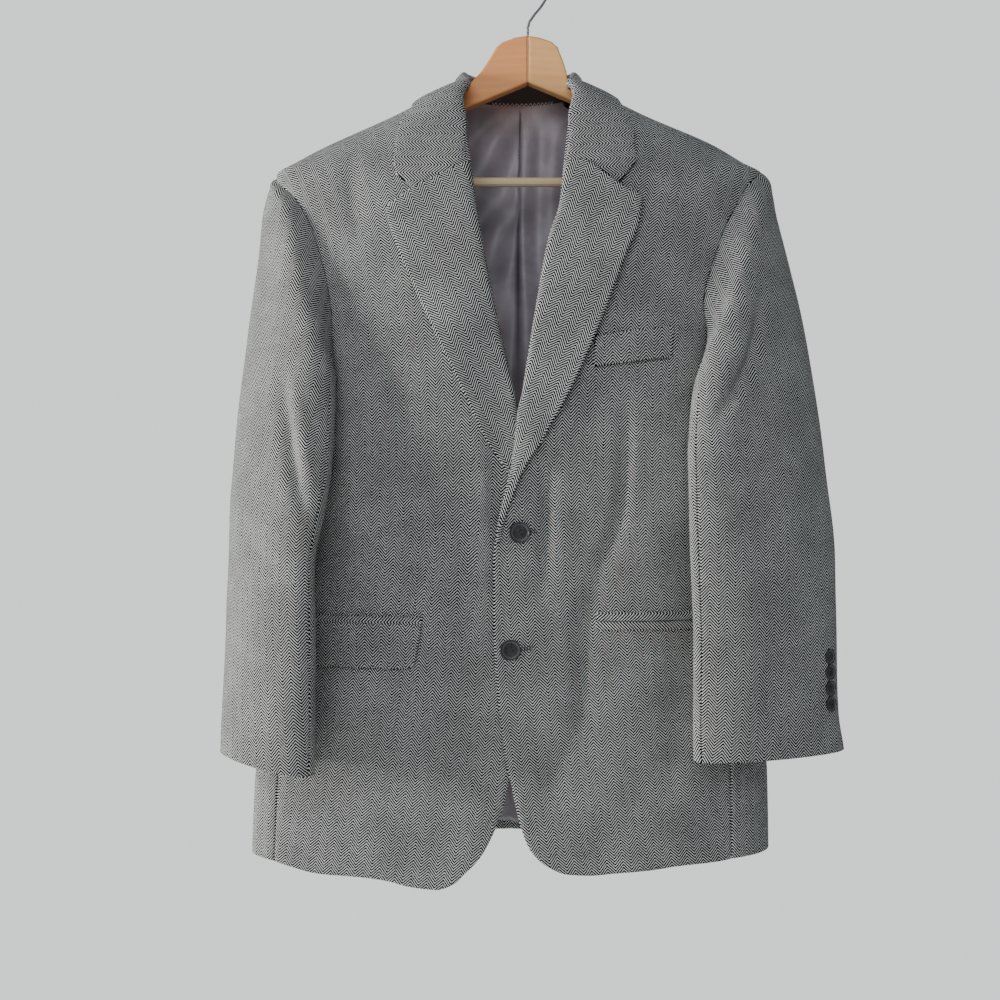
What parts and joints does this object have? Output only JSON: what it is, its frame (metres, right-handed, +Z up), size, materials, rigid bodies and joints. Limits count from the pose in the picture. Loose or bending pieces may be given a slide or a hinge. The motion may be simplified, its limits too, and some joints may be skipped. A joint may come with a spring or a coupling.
{
  "type": "tailored tweed jacket on a wooden hanger",
  "caption": "Closed single-breasted tweed jacket with notch lapels and flapped pockets, hanging on a wooden hanger with a trouser bar and a wire hook.",
  "frame": {"origin": "inside top of the hanger's hook, where a peg or rail carries it", "axes": "+Z up, the jacket's front faces -Y, the wearer's left is +X"},
  "size_m": [0.6182, 0.1817, 0.9417],
  "materials": {
    "tweed": "woven wool herringbone in off-white and near-black",
    "lining": "purple-grey satin",
    "navy": "plain dark felt",
    "horn": "turned dark grey button stock",
    "wood_dark": "clear lacquer",
    "wood_light": "clear lacquer",
    "steel": "bright drawn wire"
  },
  "bodies": {
    "root": {"right_front": "tweed", "left_front": "tweed", "right_side_panel": "tweed", "left_side_panel": "tweed", "right_back": "tweed", "left_back": "tweed", "back_lining": "lining", "right_lapel": "tweed", "left_lapel": "tweed", "collar": "tweed", "neck_band": "navy", "right_top_sleeve": "tweed", "right_under_sleeve": "tweed", "left_top_sleeve": "tweed", "left_under_sleeve": "tweed", "breast_welt": "tweed", "left_pocket_jet_upper": "tweed", "left_pocket_jet_lower": "tweed", "right_pocket_jet": "tweed", "right_pocket_flap": "tweed", "front_button_1": "horn", "front_button_2": "horn", "right_cuff_button_1": "horn", "right_cuff_button_2": "horn", "right_cuff_button_3": "horn", "right_cuff_button_4": "horn", "left_cuff_button_1": "horn", "left_cuff_button_2": "horn", "left_cuff_button_3": "horn", "left_cuff_button_4": "horn", "right_hanger_arm": "wood_dark", "left_hanger_arm": "wood_light", "trouser_bar": "wood_light", "hook": "steel"}
  },
  "joints": []
}
